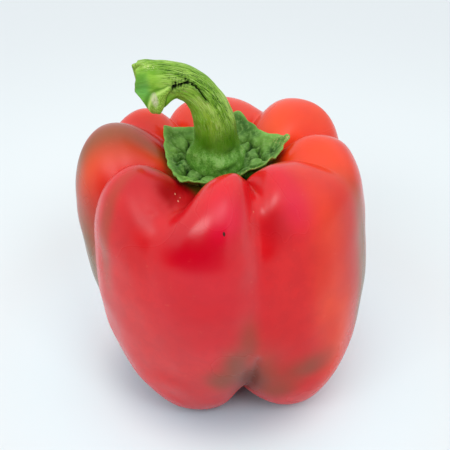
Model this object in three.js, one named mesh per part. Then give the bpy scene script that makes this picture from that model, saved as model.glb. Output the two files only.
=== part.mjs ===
// A red bell pepper that stands on its four lobes, with its calyx and its bent, flared stem.
// Lengths are in millimetres and angles in degrees. +Z is up, and the fruit stands on z = 0.
// Azimuths run counter-clockwise as seen from above, starting at +X.

import * as THREE from 'three';

// ---- Fruit ----

const FRUIT_AROUND = 96; // points round the fruit
const FRUIT_RINGS = 36; // rings from the dimple at the stem to the navel underneath
const HUMP_FOCUS = 9; // how closely each hump keeps its own values to itself
const BASE_SHIFT = 4.5; // the fruit's foot stands this far to +X of its crown
const CROWN_HEIGHT = 90; // height at which the sideways shift has run out
const LEAN_SOFTNESS = 6; // degrees over which a groove changes from one wall to the other

// The nine humps of the shoulder, two or three to each lobe. crest raises a hump's top, brim the
// wall it turns to the stem and brow its outer side. reach pushes its shoulder out, girth its
// flank and foot its lower end.
const HUMP_KEYS = ['crest', 'brim', 'brow', 'reach', 'girth', 'foot'];
const HUMPS = [
  { azimuth: 175, crest: -1.4, brim: -0.4, brow: 0, reach: 1.5, girth: 0, foot: 0 },
  { azimuth: 138, crest: -2, brim: -0.2, brow: -1, reach: -2, girth: -2, foot: 0 },
  { azimuth: 93, crest: -8.6, brim: 0, brow: 0, reach: -5, girth: -3, foot: 0 },
  { azimuth: 44, crest: -4.6, brim: 1.2, brow: 0, reach: 2, girth: 0, foot: 0 },
  { azimuth: 3, crest: -0.4, brim: 1.6, brow: 0, reach: -2.5, girth: -5, foot: -11 },
  { azimuth: 331, crest: -7.8, brim: 3.9, brow: -4.3, reach: -4.7, girth: -1.9, foot: -0.5 },
  { azimuth: 296, crest: 2.2, brim: 5.7, brow: 2, reach: -13.1, girth: -2.8, foot: 6.2 },
  { azimuth: 268.5, crest: 1.9, brim: 0.4, brow: -2.4, reach: 0.3, girth: 1.9, foot: -4.5 },
  { azimuth: 216, crest: 3.3, brim: -1.3, brow: -1.6, reach: -0.6, girth: -0.8, foot: 1.5 },
];

// Grooves between the humps. A groove runs from azimuth throat at the stem over azimuth top at
// the shoulder to azimuth base underneath. width and round set how wide and how blunt it is, and
// lean makes its wall on the side of growing azimuth the wider one. crown, edge, side and under
// are its depths at the crest, the shoulder, the flank and the foot. The last four are the
// shallow ones inside a lobe, which fade out on the way down.
const GROOVES = [
  {
    throat: 293, top: 285.5, base: 275, width: 10, round: 2.4, lean: 0.4,
    crown: 11.5, edge: 6.3, side: 4.5, under: 14.5,
  },
  {
    throat: 198, top: 198, base: 198, width: 11, round: 2, lean: 0,
    crown: 14, edge: 14, side: 5, under: 13,
  },
  {
    throat: 123, top: 123, base: 115, width: 11, round: 2, lean: 0,
    crown: 12, edge: 11, side: 4, under: 13,
  },
  {
    throat: 23, top: 23, base: 15, width: 11, round: 2, lean: 0,
    crown: 14, edge: 14, side: 4, under: 13,
  },
  {
    throat: 248, top: 241, base: 238, width: 14, round: 4, lean: -0.2,
    crown: 17, edge: 6, side: 0.5, under: 0,
  },
  {
    throat: 152, top: 152, base: 152, width: 10, round: 3, lean: 0,
    crown: 7, edge: 5, side: 0.5, under: 0,
  },
  {
    throat: 69, top: 69, base: 69, width: 10, round: 3, lean: 0,
    crown: 9, edge: 8, side: 0.5, under: 0,
  },
  {
    throat: 345, top: 342, base: 342, width: 10, round: 3, lean: 0,
    crown: 6.1, edge: 1, side: 0.3, under: 0,
  },
];

// The fruit's outline from the dimple to the navel, as the control points of a smooth curve.
// out and down say how far a groove has swung from its throat to its top and to its base azimuth
// there, and spread widens it. Under move, each hump value or groove depth is given the radius
// and the height that one millimetre of it adds.
const STATIONS = [
  { radius: 0, height: 74, out: 0, down: 0, spread: 1, move: {} },
  { radius: 11, height: 74, out: 0, down: 0, spread: 1, move: { crown: [0, -0.05] } },
  {
    radius: 17.5, height: 79.5, out: 0, down: 0, spread: 0.8,
    move: { crest: [0, 0.2], brim: [-0.2, 1], crown: [0, -0.35] },
  },
  {
    radius: 27, height: 91.5, out: 0.4, down: 0, spread: 0.8,
    move: { crest: [0, 1], brim: [-1, 0.3], crown: [-0.1, -1] },
  },
  {
    radius: 43, height: 86, out: 1, down: 0, spread: 0.9,
    move: { crest: [0, 0.7], brow: [0, 1], reach: [1, 0], edge: [-0.55, -0.65] },
  },
  {
    radius: 47.8, height: 64, out: 1, down: 0.2, spread: 1.1,
    move: { girth: [1, 0], reach: [0.5, 0], edge: [-0.2, 0], side: [-1, 0] },
  },
  { radius: 46.2, height: 42, out: 1, down: 0.5, spread: 1.5, move: { girth: [1, 0], side: [-0.6, 0] } },
  {
    radius: 43, height: 20, out: 1, down: 0.8, spread: 1.4,
    move: { foot: [0.6, 0], side: [-0.4, 0], under: [-0.4, 0] },
  },
  { radius: 35, height: 0, out: 1, down: 1, spread: 1.9, move: { foot: [1, 0], under: [-0.85, 0.6] } },
  { radius: 20, height: -6.5, out: 1, down: 1, spread: 1.9, move: { foot: [0.5, 0], under: [-0.2, 0.8] } },
  { radius: 8, height: 8, out: 1, down: 1, spread: 1, move: { under: [0, 0.2] } },
  { radius: 0, height: 10, out: 1, down: 1, spread: 1, move: {} },
];

// ---- Calyx ----

const CALYX_AROUND = 72; // points round the calyx
const CALYX_RINGS = 8; // rings on each face, from the centre to the rim
const CALYX_X = -0.6; // the calyx sits a little to -X of the fruit's axis
const CALYX_SEAT = 76.7; // height of the flat middle that carries the stem
const CALYX_RIM = { radius: 15.4, height: 80.2 }; // the rim midway between two tips
const CALYX_CUP = { from: 0.55, to: 1.08 }; // shares of the radius over which the cup rises
const CALYX_EDGE = 0.6; // thickness at the rim
const CALYX_CORE = 2.3; // thickness at the centre
const CALYX_CORE_END = 0.6; // share of the radius where the thick middle ends
const TIP_REACH = 13; // degrees over which the rim runs out to a tip
const TIP_BLUNT = 4; // degrees over which a tip is rounded off
const CRINKLE = { height: 0.6, count: 11, radius: 12.5, width: 2 }; // bumps round the stem's collar

// The pointed tips of the calyx. The last two stand close together and make one broad lobe.
const TIPS = [
  { azimuth: 12, radius: 20.8, height: 83.4 },
  { azimuth: 75, radius: 21, height: 82.2 },
  { azimuth: 150, radius: 19.6, height: 83.4 },
  { azimuth: 235, radius: 19.4, height: 81.5 },
  { azimuth: 300, radius: 16.5, height: 84 },
  { azimuth: 328, radius: 16.8, height: 84 },
];

// ---- Stem ----

const STEM_AROUND = 32; // points round the stem
const STEM_RINGS = 36; // rings from the collar to the broken end

// Control sections along the stem: x and z of the middle, then the half thickness towards the
// outside of the bend, the inside of the bend, -Y and +Y.
const STEM_SECTIONS = [
  [-1.9, 73.5, 7.6, 7.6, 7.6, 7.6],
  [-1.9, 77, 8.2, 8.4, 8.2, 8.2],
  [-1.9, 80.5, 8.3, 8.8, 8.3, 8.3],
  [-1.8, 84.5, 6, 6.2, 6.3, 6.3],
  [-1.7, 89, 6, 6.1, 6, 6],
  [-2.6, 94.5, 5.2, 6.1, 5.8, 5.8],
  [-5.4, 100, 4.4, 5.2, 5.4, 5.4],
  [-9.6, 103.8, 4.4, 5, 5.2, 5.2],
  [-14.6, 104.6, 5, 5, 5, 5.4],
  [-19.2, 103.2, 6.8, 7, 4.8, 6],
  [-23.8, 101.9, 7.2, 10, 4.6, 7],
  [-27.4, 100.9, 7.2, 9.8, 4.4, 7.6],
];
// The end is cut upright above the middle, slopes back below it and is rounded off at the bottom.
const END_CUT = { above: 0.26, below: 0.2, turn: 7.5, steep: 0.5, from: 0.75 };
const END_HOLLOW = { depth: 0.3, angle: 80, width: 38, from: 0.78, to: 0.98 }; // scoop on the -Y side
const END_KNOB = { rise: 0.3, angle: 132, width: 17, from: 0.7, full: 0.84, fade: 0.9, to: 0.97 };

// The whole pepper's box is centred on the Z axis by this shift.
const CENTRE_SHIFT = { x: 0.41, y: 1.72 };

const RED_SKIN = new THREE.MeshStandardMaterial({ color: 0xd7403c, roughness: 0.22, metalness: 0 });
const GREEN_LEAF = new THREE.MeshStandardMaterial({ color: 0x4a7f3a, roughness: 0.7, metalness: 0 });
const GREEN_STALK = new THREE.MeshStandardMaterial({ color: 0x7fa342, roughness: 0.55, metalness: 0 });

// ---- Curves and surfaces ----

// The signed angle in degrees, from -180 to 180.
function wrapAngle(angle) {
  return THREE.MathUtils.euclideanModulo(angle + 180, 360) - 180;
}

function bell(distance, width) {
  return Math.exp(-((distance / width) ** 2));
}

// A point on the uniform cubic B-spline through rows of numbers, with t from 0 to 1.
function splineRow(rows, t) {
  const spans = rows.length - 3;
  const span = Math.min(Math.floor(t * spans), spans - 1);
  const f = t * spans - span;
  const weights = [
    (1 - f) ** 3 / 6,
    (3 * f ** 3 - 6 * f ** 2 + 4) / 6,
    (-3 * f ** 3 + 3 * f ** 2 + 3 * f + 1) / 6,
    f ** 3 / 6,
  ];
  return rows[0].map((_, column) => {
    const terms = weights.map((weight, k) => weight * rows[span + k][column]);
    return terms.reduce((sum, term) => sum + term, 0);
  });
}

// A closed surface over rings of equally many points, closed by a fan at each end.
function closedSurface(first, rings, last) {
  const around = rings[0].length;
  const positions = [first, ...rings.flat(), last].flatMap((point) => point.toArray());
  const lastIndex = rings.length * around + 1;
  const indexOf = (ring, j) => 1 + ring * around + (j % around);
  const faces = [];
  for (let j = 0; j < around; j++) {
    faces.push(0, indexOf(0, j), indexOf(0, j + 1));
    for (let ring = 0; ring < rings.length - 1; ring++) {
      faces.push(indexOf(ring, j), indexOf(ring + 1, j), indexOf(ring + 1, j + 1));
      faces.push(indexOf(ring, j), indexOf(ring + 1, j + 1), indexOf(ring, j + 1));
    }
    faces.push(indexOf(rings.length - 1, j), lastIndex, indexOf(rings.length - 1, j + 1));
  }
  const geometry = new THREE.BufferGeometry();
  geometry.setAttribute('position', new THREE.Float32BufferAttribute(positions, 3));
  geometry.setIndex(faces);
  geometry.computeVertexNormals();
  return geometry;
}

function polarPoint(radius, azimuth, height) {
  const angle = THREE.MathUtils.degToRad(azimuth);
  return new THREE.Vector3(radius * Math.cos(angle), radius * Math.sin(angle), height);
}

// ---- Fruit ----

// The hump values at an azimuth, blended from the humps on either side of it.
function humpValues(azimuth) {
  const weights = HUMPS.map((hump) => {
    const angle = THREE.MathUtils.degToRad(azimuth - hump.azimuth);
    return Math.exp(HUMP_FOCUS * (Math.cos(angle) - 1));
  });
  const total = weights.reduce((sum, weight) => sum + weight, 0);
  const blend = (key) => HUMPS.reduce((sum, hump, k) => sum + hump[key] * weights[k], 0) / total;
  return Object.fromEntries(HUMP_KEYS.map((key) => [key, blend(key)]));
}

// How much of a groove's depth is felt at an azimuth, from 0 to 1.
function grooveShare(groove, station, azimuth) {
  const swing = (groove.top - groove.throat) * station.out + (groove.base - groove.top) * station.down;
  const offset = wrapAngle(azimuth - groove.throat - swing);
  const width = groove.width * station.spread * (1 + groove.lean * Math.tanh(offset / LEAN_SOFTNESS));
  const round = groove.round * station.spread;
  return Math.exp(-(Math.hypot(offset, round) - round) / width);
}

// The control points of the fruit's outline at an azimuth, mirrored past both ends so that the
// surface is smooth on its axis.
function fruitOutline(azimuth) {
  const values = humpValues(azimuth);
  const rows = STATIONS.map((station) => {
    const depths = { crown: 0, edge: 0, side: 0, under: 0 };
    for (const groove of GROOVES) {
      const share = grooveShare(groove, station, azimuth);
      for (const key of Object.keys(depths)) {
        depths[key] += groove[key] * share;
      }
    }
    const amounts = { ...values, ...depths };
    let { radius, height } = station;
    for (const [key, [outward, upward]] of Object.entries(station.move)) {
      radius += outward * amounts[key];
      height += upward * amounts[key];
    }
    return [radius, height];
  });
  const before = [-rows[1][0], rows[1][1]];
  const after = [-rows[rows.length - 2][0], rows[rows.length - 2][1]];
  return [before, ...rows, after];
}

// A point of the fruit. Its feet are flat, where it has settled on the ground.
function fruitPoint(outline, azimuth, t) {
  const [radius, height] = splineRow(outline, t);
  const point = polarPoint(radius, azimuth, Math.max(height, 0));
  point.x += BASE_SHIFT * (1 - height / CROWN_HEIGHT);
  return point;
}

function fruitGeometry() {
  const rings = Array.from({ length: FRUIT_RINGS }, () => []);
  for (let j = 0; j < FRUIT_AROUND; j++) {
    const azimuth = (360 * j) / FRUIT_AROUND;
    const outline = fruitOutline(azimuth);
    rings.forEach((ring, i) => ring.push(fruitPoint(outline, azimuth, (i + 1) / (FRUIT_RINGS + 1))));
  }
  const axisOutline = fruitOutline(0);
  return closedSurface(fruitPoint(axisOutline, 0, 0), rings, fruitPoint(axisOutline, 0, 1));
}

// ---- Calyx ----

// Radius and height of the calyx rim at an azimuth, drawn out towards each tip.
function calyxRim(azimuth) {
  let { radius, height } = CALYX_RIM;
  for (const tip of TIPS) {
    const away = Math.hypot(wrapAngle(azimuth - tip.azimuth), TIP_BLUNT) - TIP_BLUNT;
    const share = Math.exp(-away / TIP_REACH);
    radius += (tip.radius - CALYX_RIM.radius) * share;
    height += (tip.height - CALYX_RIM.height) * share;
  }
  return { radius, height };
}

// A point on the calyx, at a share of the way from its centre to its rim.
function calyxPoint(azimuth, share, isTop) {
  const rim = calyxRim(azimuth);
  const radius = share * rim.radius;
  const cup = THREE.MathUtils.smoothstep(share, CALYX_CUP.from, CALYX_CUP.to);
  const wave = Math.sin(THREE.MathUtils.degToRad(azimuth * CRINKLE.count));
  const crinkle = CRINKLE.height * wave * bell(radius - CRINKLE.radius, CRINKLE.width);
  const core = 1 - THREE.MathUtils.smoothstep(share, 0, CALYX_CORE_END);
  const thickness = CALYX_EDGE + (CALYX_CORE - CALYX_EDGE) * core;
  const top = CALYX_SEAT + (rim.height - CALYX_SEAT) * cup + crinkle;
  const point = polarPoint(radius, azimuth, isTop ? top : top - thickness);
  point.x += CALYX_X;
  return point;
}

function calyxGeometry() {
  const shares = Array.from({ length: CALYX_RINGS }, (_, i) => (i + 1) / CALYX_RINGS);
  const azimuths = Array.from({ length: CALYX_AROUND }, (_, j) => (360 * j) / CALYX_AROUND);
  const topRings = shares.map((share) => azimuths.map((azimuth) => calyxPoint(azimuth, share, true)));
  const underRings = shares.map((share) => azimuths.map((azimuth) => calyxPoint(azimuth, share, false)));
  const rings = [...topRings, ...underRings.reverse()];
  return closedSurface(calyxPoint(0, 0, true), rings, calyxPoint(0, 0, false));
}

// ---- Stem ----

function stemCentre(t) {
  const [x, z] = splineRow(STEM_SECTIONS, t);
  return new THREE.Vector3(x, 0, z);
}

// The direction of the stem's middle line, from two points close together on it.
function stemDirection(t) {
  const step = 0.001;
  const ahead = stemCentre(Math.min(t + step, 1));
  const behind = stemCentre(Math.max(t - step, 0));
  return ahead.sub(behind).normalize();
}

// A ring of points round the stem. The angle starts at the outside of the bend and turns over -Y.
function stemRing(t) {
  const [, , outside, inside, near, far] = splineRow(STEM_SECTIONS, t);
  const along = stemDirection(t);
  const outward = new THREE.Vector3(along.z, 0, -along.x);
  const sideward = new THREE.Vector3(0, -1, 0);
  const hollowShare = THREE.MathUtils.smoothstep(t, END_HOLLOW.from, END_HOLLOW.to);
  const knobRise = THREE.MathUtils.smoothstep(t, END_KNOB.from, END_KNOB.full);
  const knobShare = knobRise * (1 - THREE.MathUtils.smoothstep(t, END_KNOB.fade, END_KNOB.to));
  const cutShare = THREE.MathUtils.smoothstep(t, END_CUT.from, 1);
  const ring = [];
  for (let j = 0; j < STEM_AROUND; j++) {
    const angle = (360 * j) / STEM_AROUND;
    const cosine = Math.cos(THREE.MathUtils.degToRad(angle));
    const sine = Math.sin(THREE.MathUtils.degToRad(angle));
    const hollow = END_HOLLOW.depth * bell(angle - END_HOLLOW.angle, END_HOLLOW.width) * hollowShare;
    const knob = END_KNOB.rise * bell(angle - END_KNOB.angle, END_KNOB.width) * knobShare;
    const swell = 1 - hollow + knob;
    const rise = (cosine > 0 ? outside : inside) * cosine;
    const side = (sine > 0 ? near : far) * sine;
    const point = stemCentre(t);
    point.addScaledVector(outward, rise * swell);
    point.addScaledVector(sideward, side * swell);
    const fall = Math.max(-rise, 0);
    const tip = END_CUT.steep * Math.max(fall - END_CUT.turn, 0) ** 2;
    const cut = END_CUT.above * Math.max(rise, 0) + END_CUT.below * fall + tip;
    point.addScaledVector(along, -cut * cutShare);
    ring.push(point);
  }
  return ring;
}

function stemGeometry() {
  const rings = Array.from({ length: STEM_RINGS }, (_, i) => stemRing(i / (STEM_RINGS - 1)));
  return closedSurface(stemCentre(0), rings, stemCentre(1));
}

// ---- The pepper ----

function namedMesh(name, geometry, material) {
  const mesh = new THREE.Mesh(geometry, material);
  mesh.name = name;
  return mesh;
}

const pepper = new THREE.Group();
pepper.add(namedMesh('fruit', fruitGeometry(), RED_SKIN));
pepper.add(namedMesh('calyx', calyxGeometry(), GREEN_LEAF));
pepper.add(namedMesh('stem', stemGeometry(), GREEN_STALK));
pepper.position.set(CENTRE_SHIFT.x, CENTRE_SHIFT.y, 0);

export default pepper;
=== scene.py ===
"""The looks of a red bell pepper with its calyx and its bent stem.

Shapes are worked out in millimetres, as the part's solids are, and turned into metres as each
mesh is made. Azimuths run counter-clockwise as seen from above, starting at +X. Angles round
the stem start on the outside of its bend and turn towards the viewer.
"""

import math
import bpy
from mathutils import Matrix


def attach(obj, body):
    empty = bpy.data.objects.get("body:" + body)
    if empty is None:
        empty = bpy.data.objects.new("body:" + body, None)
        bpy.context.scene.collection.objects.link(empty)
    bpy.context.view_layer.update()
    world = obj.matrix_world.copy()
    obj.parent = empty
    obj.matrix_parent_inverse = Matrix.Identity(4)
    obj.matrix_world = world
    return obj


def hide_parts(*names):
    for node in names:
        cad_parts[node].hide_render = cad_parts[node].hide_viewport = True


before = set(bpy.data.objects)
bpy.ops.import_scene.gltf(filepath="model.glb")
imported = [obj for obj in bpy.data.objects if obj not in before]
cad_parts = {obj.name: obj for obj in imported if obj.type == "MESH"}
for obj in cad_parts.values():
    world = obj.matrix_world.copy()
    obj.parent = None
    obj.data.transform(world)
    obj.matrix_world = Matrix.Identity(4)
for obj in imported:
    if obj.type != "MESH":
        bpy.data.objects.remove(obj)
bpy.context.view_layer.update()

from types import SimpleNamespace

import bpy
import numpy as np
from mathutils import Vector

MM = 0.001
SHIFT_X = 0.41  # millimetres that put the pepper's box on the Z axis
SHIFT_Y = 1.72

# ---- Measures of the fruit ----

FRUIT_AROUND = 432
FRUIT_RINGS = 200
HUMP_FOCUS = 9.0  # how closely a hump's values keep to its azimuth
BASE_SHIFT = 4.5  # how far the base lies towards +X
CROWN_HEIGHT = 90.0
LEAN_SOFTNESS = 6.0  # degrees over which a leaning groove changes its width

HUMP_KEYS = ("crest", "brim", "brow", "reach", "girth", "foot")
# azimuth, then crest, brim, brow, reach, girth and foot
HUMPS = [
    (175, -1.4, -0.4, 0, 1.5, 0, 0),
    (138, -2, -0.2, -1, -2, -2, 0),
    (93, -8.6, 0, 0, -5, -3, 0),
    (44, -4.6, 1.2, 0, 2, 0, 0),
    (3, -0.4, 1.6, 0, -2.5, -5, -11),
    (331, -7.8, 3.9, -4.3, -4.7, -1.9, -0.5),
    (296, 2.2, 5.7, 2, -13.1, -2.8, 6.2),
    (268.5, 1.9, 0.4, -2.4, 0.3, 1.9, -4.5),
    (216, 3.3, -1.3, -1.6, -0.6, -0.8, 1.5),
]

# throat, top and base azimuth, width, round, lean, then the depths crown, edge, side and under
GROOVES = [
    (293, 285.5, 275, 10, 2.4, 0.4, 11.5, 6.3, 4.5, 14.5),
    (198, 198, 198, 11, 2, 0, 14, 14, 5, 13),
    (123, 123, 115, 11, 2, 0, 12, 11, 4, 13),
    (23, 23, 15, 11, 2, 0, 14, 14, 4, 13),
    (248, 241, 238, 14, 4, -0.2, 17, 6, 0.5, 0),
    (152, 152, 152, 10, 3, 0, 7, 5, 0.5, 0),
    (69, 69, 69, 10, 3, 0, 9, 8, 0.5, 0),
    (345, 342, 342, 10, 3, 0, 6.1, 1, 0.3, 0),
]

# radius, height, swing out, swing down, spread, and what moves each control point
STATIONS = [
    (0, 74, 0, 0, 1, {}),
    (11, 74, 0, 0, 1, {"crown": (0, -0.05)}),
    (17.5, 79.5, 0, 0, 0.8, {"crest": (0, 0.2), "brim": (-0.2, 1), "crown": (0, -0.35)}),
    (27, 91.5, 0.4, 0, 0.8, {"crest": (0, 1), "brim": (-1, 0.3), "crown": (-0.1, -1)}),
    (
        43, 86, 1, 0, 0.9,
        {"crest": (0, 0.7), "brow": (0, 1), "reach": (1, 0), "edge": (-0.55, -0.65)},
    ),
    (
        47.8, 64, 1, 0.2, 1.1,
        {"girth": (1, 0), "reach": (0.5, 0), "edge": (-0.2, 0), "side": (-1, 0)},
    ),
    (46.2, 42, 1, 0.5, 1.5, {"girth": (1, 0), "side": (-0.6, 0)}),
    (43, 20, 1, 0.8, 1.4, {"foot": (0.6, 0), "side": (-0.4, 0), "under": (-0.4, 0)}),
    (35, 0, 1, 1, 1.9, {"foot": (1, 0), "under": (-0.85, 0.6)}),
    (20, -6.5, 1, 1, 1.9, {"foot": (0.5, 0), "under": (-0.2, 0.8)}),
    (8, 8, 1, 1, 1, {"under": (0, 0.2)}),
    (0, 10, 1, 1, 1, {}),
]

CREASE_GIRTH = 32.0  # radius at which azimuths are counted as millimetres
CREASE = [(280.5, 36), (279.5, 28), (277.5, 19), (275.5, 11)]  # azimuth and height of its corners
CREASE_DEPTH = 0.7
CREASE_WIDTH = 0.9

# Swells and folds of the skin: height, wavelength, seed, and a stretch of the places
SKIN_SWELLS = [(0.35, 30, 3), (0.12, 11, 4)]
VALLEY_WRINKLES = (0.12, 2.6, 5, (1.0, 1.0, 2.2))
FLANK_FOLDS = (0.08, 8, 6, (1.0, 1.0, 0.25))
# azimuth, half width in degrees, height and half height of the wrinkled dip beside the calyx
VALLEY = (241, 7, 81, 2.5)
FOLDED_FLANK = (45, 28)  # height and half height
# azimuth, half width in degrees, distance from the axis, half width and height of the swelling
# at the calyx's rim between the two front lobes
THROAT_SWELLING = (293, 7, 19, 2.4, 1.3)
RIDGE_AZIMUTHS = (203, 208)  # fine ridges down the left flank
RIDGE_WIDTH = 1.1
RIDGE_HEIGHT = 0.2
RIDGED_FLANK = (62, 20)  # height and half height
SOLE_FADE = 8.0  # height over which the relief fades in above the flat feet

# ---- Patches of the skin ----

# Each patch: azimuth, height, half width in degrees, half height in millimetres, strength.
# Unripe green that shows through.
OLIVE = [
    (168, 86, 11, 4, 0.5),
    (178, 74, 8, 15, 0.75),
    (190, 42, 11, 26, 0.95),
    (341, 40, 8.5, 27, 1.0),
    (345, 64, 7, 12, 0.7),
    # The next patch, on the left flank, is painted reflection: the greyish look of a grazing
    # reflection there.
    (219, 70, 3.5, 18, 0.25),
]
# Brown beside the cleft between the front feet, partly the skin's own tint and partly painted shade
# of the cleft, and a tinge on the far flanks.
BROWN_AND_SHADE = [
    (277, 45, 4.5, 8, 0.7),
    (271.5, 35.5, 5.5, 8, 0.9),
    (265.5, 28.5, 6.5, 6, 0.85),
    (274, 27, 7, 6, 0.7),
    (284, 28, 8, 12, 0.7),
    (302, 30, 11, 5, 0.95),
    (292, 22, 8, 6, 0.5),
    (274, 18, 9, 6, 0.5),
    (289, 19, 6, 6, 0.5),
    (172, 85, 22, 6, 0.3),
    (188, 86, 12, 4, 0.15),
    (330, 55, 8, 22, 0.25),
    # The next patch, on the left flank, is painted reflection: the greyish look of a grazing
    # reflection there.
    (219, 72, 4, 20, 0.3),
]
# A bloom on the shoulders that blurs the highlights.
WAXY = [
    (236, 80, 13, 7, 0.9),
    (222, 77, 10, 9, 0.7),
    (258, 82, 8, 5, 0.25),
    (269, 85, 5, 4, 0.7),
    (294, 83, 11, 7, 0.4),
    (37, 84, 14, 8, 0.9),
    (183, 84, 14, 8, 0.9),
]
# Painted shade and painted dark reflection: deeper red on the front shoulders and in the dip
# between them.
DEEP_SHADE = [
    (256, 76, 9, 5, 0.8),
    (268, 76, 6, 4, 0.3),
    (294, 76, 8, 6, 0.8),
    (236, 79, 5, 2, 0.6),
    (239, 85, 10, 5, 0.75),
    (226, 87, 8, 4, 0.8),
    (228, 76, 6, 11, 0.4),
    (260, 75.5, 12, 7, 0.85),
]
# Painted shade: the darkest red, in the dip beside the calyx, stands in for shade and a dark
# reflection there. It hardly shines.
SHADED = [(235, 81.5, 8, 4, 0.95)]
SHADED_REACH = (28, 33)  # distances from the axis over which it ends
# Skin below the highlight of the left front shoulder that hardly shines.
DULL = [(255, 73.5, 11, 3.5, 0.8), (264, 73, 9, 3.5, 0.5)]
# Painted shade: the dark brown at the bottom of the cleft between the front feet. It hardly shines.
CLEFT_SHADE = [(278, 24, 7, 10, 0.95)]
ORANGE = [
    (350, 84, 22, 10, 0.8),
    (40, 80, 28, 14, 1.0),
    (95, 75, 40, 16, 0.7),
    (138, 80, 14, 12, 0.6),
    (186, 78, 8, 9, 0.9),
    (316, 45, 10, 26, 0.75),
    (322, 74, 10, 14, 0.5),
]
# Crimson on the shoulders and front, partly the skin's own tone and partly painted sheen: the
# pinkish look of broad highlights.
CRIMSON_AND_SHEEN = [
    (271, 83, 8, 5, 0.9),
    (308, 80, 9, 7, 0.8),
    (190, 78, 5, 4, 0.5),
    (262, 60, 22, 22, 0.3),
]
PATCHES = {
    "olive": OLIVE,
    "brown_and_shade": BROWN_AND_SHADE,
    "waxy": WAXY,
    "deep_shade": DEEP_SHADE,
    "shaded": SHADED,
    "dull": DULL,
    "cleft_shade": CLEFT_SHADE,
    "orange": ORANGE,
    "crimson_and_sheen": CRIMSON_AND_SHEEN,
}
UNDERSIDE = (58, 6)  # heights over which the skin turns dull, downwards
# Small marks: azimuth, distance from the axis, half width and half height
SCRATCH = (270, 39.6, 0.35, 1.0)
SPECKS = [
    (238, 24.9, 0.3, 0.3),
    (241, 25.6, 0.35, 0.3),
    (240, 24.0, 0.2, 0.2),
    (285, 31.7, 0.3, 0.35),
]

# ---- Measures of the calyx ----

CALYX_AROUND = 420
CALYX_RINGS = 64
CALYX_X = -0.6
CALYX_SEAT = 76.7  # height of the dish round the stem
RIM_RADIUS = 15.4
RIM_HEIGHT = 80.2
TIP_REACH = 13.0  # degrees over which a tip falls back to the rim
TIP_BLUNT = 4.0
# azimuth, radius, height
TIPS = [
    (12, 20.8, 83.4),
    (75, 21, 82.2),
    (150, 19.6, 83.4),
    (235, 19.4, 81.5),
    (300, 16.5, 84),
    (328, 16.8, 84),
]
DRY_TIPS = [(12, 1.0), (75, 0.15), (150, 0.15), (300, 0.4), (328, 0.4)]  # azimuth, strength
DRY_TIP_WIDTH = 11
LEAF_THICKNESS = 0.6
CORE_THICKNESS = 1.7  # what the leaf has more of beneath the stem
# Low folds that run out from the stem: number, height, radius and half width
DISH_FOLDS = (11, 0.6, 12.5, 2)
# Round pleats about the stem: radius of the ring, number in it, stretch outwards
PLEAT_RINGS = [(10.6, 13, 1.15), (14.3, 17, 1.35), (18.4, 17, 1.6)]
PLEAT_SEED = 12
PLEAT_SOFTNESS = 0.75  # how far a crevice's side reaches
PLEAT_HEIGHT = 0.9
INNER_PLEAT_HEIGHT = 2.1  # what is added to it near the stem
# azimuth, half width in degrees, radius, half width and height of the fold at the front
FRONT_FOLD = (297, 17, 13.2, 2.0, 1.1)
BLUNT_TIP = (150, 7, 0.9, 0.5)  # azimuth, half width, what it draws in and what it rises

# ---- Measures of the stem ----

STEM_AROUND = 224
STEM_RINGS = 360
# x, z, then half thickness outside, inside, near and far
STEM_SECTIONS = [
    (-1.9, 73.5, 7.6, 7.6, 7.6, 7.6),
    (-1.9, 77, 8.2, 8.4, 8.2, 8.2),
    (-1.9, 80.5, 8.3, 8.8, 8.3, 8.3),
    (-1.8, 84.5, 6, 6.2, 6.3, 6.3),
    (-1.7, 89, 6, 6.1, 6, 6),
    (-2.6, 94.5, 5.2, 6.1, 5.8, 5.8),
    (-5.4, 100, 4.4, 5.2, 5.4, 5.4),
    (-9.6, 103.8, 4.4, 5, 5.2, 5.2),
    (-14.6, 104.6, 5, 5, 5, 5.4),
    (-19.2, 103.2, 6.8, 7, 4.8, 6),
    (-23.8, 101.9, 7.2, 10, 4.6, 7),
    (-27.4, 100.9, 7.2, 9.8, 4.4, 7.6),
]
STEM_GIRTH = 5.5  # radius at which angles round the stem are counted as millimetres
# Bent lines over the surface, as shares of the length and angles round the stem
CRACK = [(0.757, 84), (0.736, 80), (0.703, 66), (0.673, 54), (0.644, 58), (0.618, 61)]
CRACK_END = [(0.618, 61), (0.584, 68), (0.556, 70)]
RIB = [(0.772, 87), (0.802, 100), (0.833, 109), (0.869, 115), (0.912, 122), (0.952, 134)]
SCAR = [(0.892, 107), (0.914, 112)]
STREAK = [(0.077, 109), (0.238, 108), (0.39, 94), (0.492, 99)]
RIB_WIDTH = 1.9  # half width that distances from the rib are scaled to
RIB_HEIGHT = 1.2
CRACK_DEPTH = 1.0
COLLAR_LENGTH = 4.6  # where along the stem the collar is thickest
# The stem's broken end: angle, half width in degrees, and how far its edge stands out
END_FLAPS = [(-2, 5, 1.5), (13, 5, -1.7)]
END_BULGE = (70, 32, 0.9)

# ---- Colours, as 8-bit display values ----

# The deeper red, the darkest red and the dark brown of the cleft are painted shade and dark
# reflection; the crimson is partly painted sheen and the brown partly painted shade.
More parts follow.
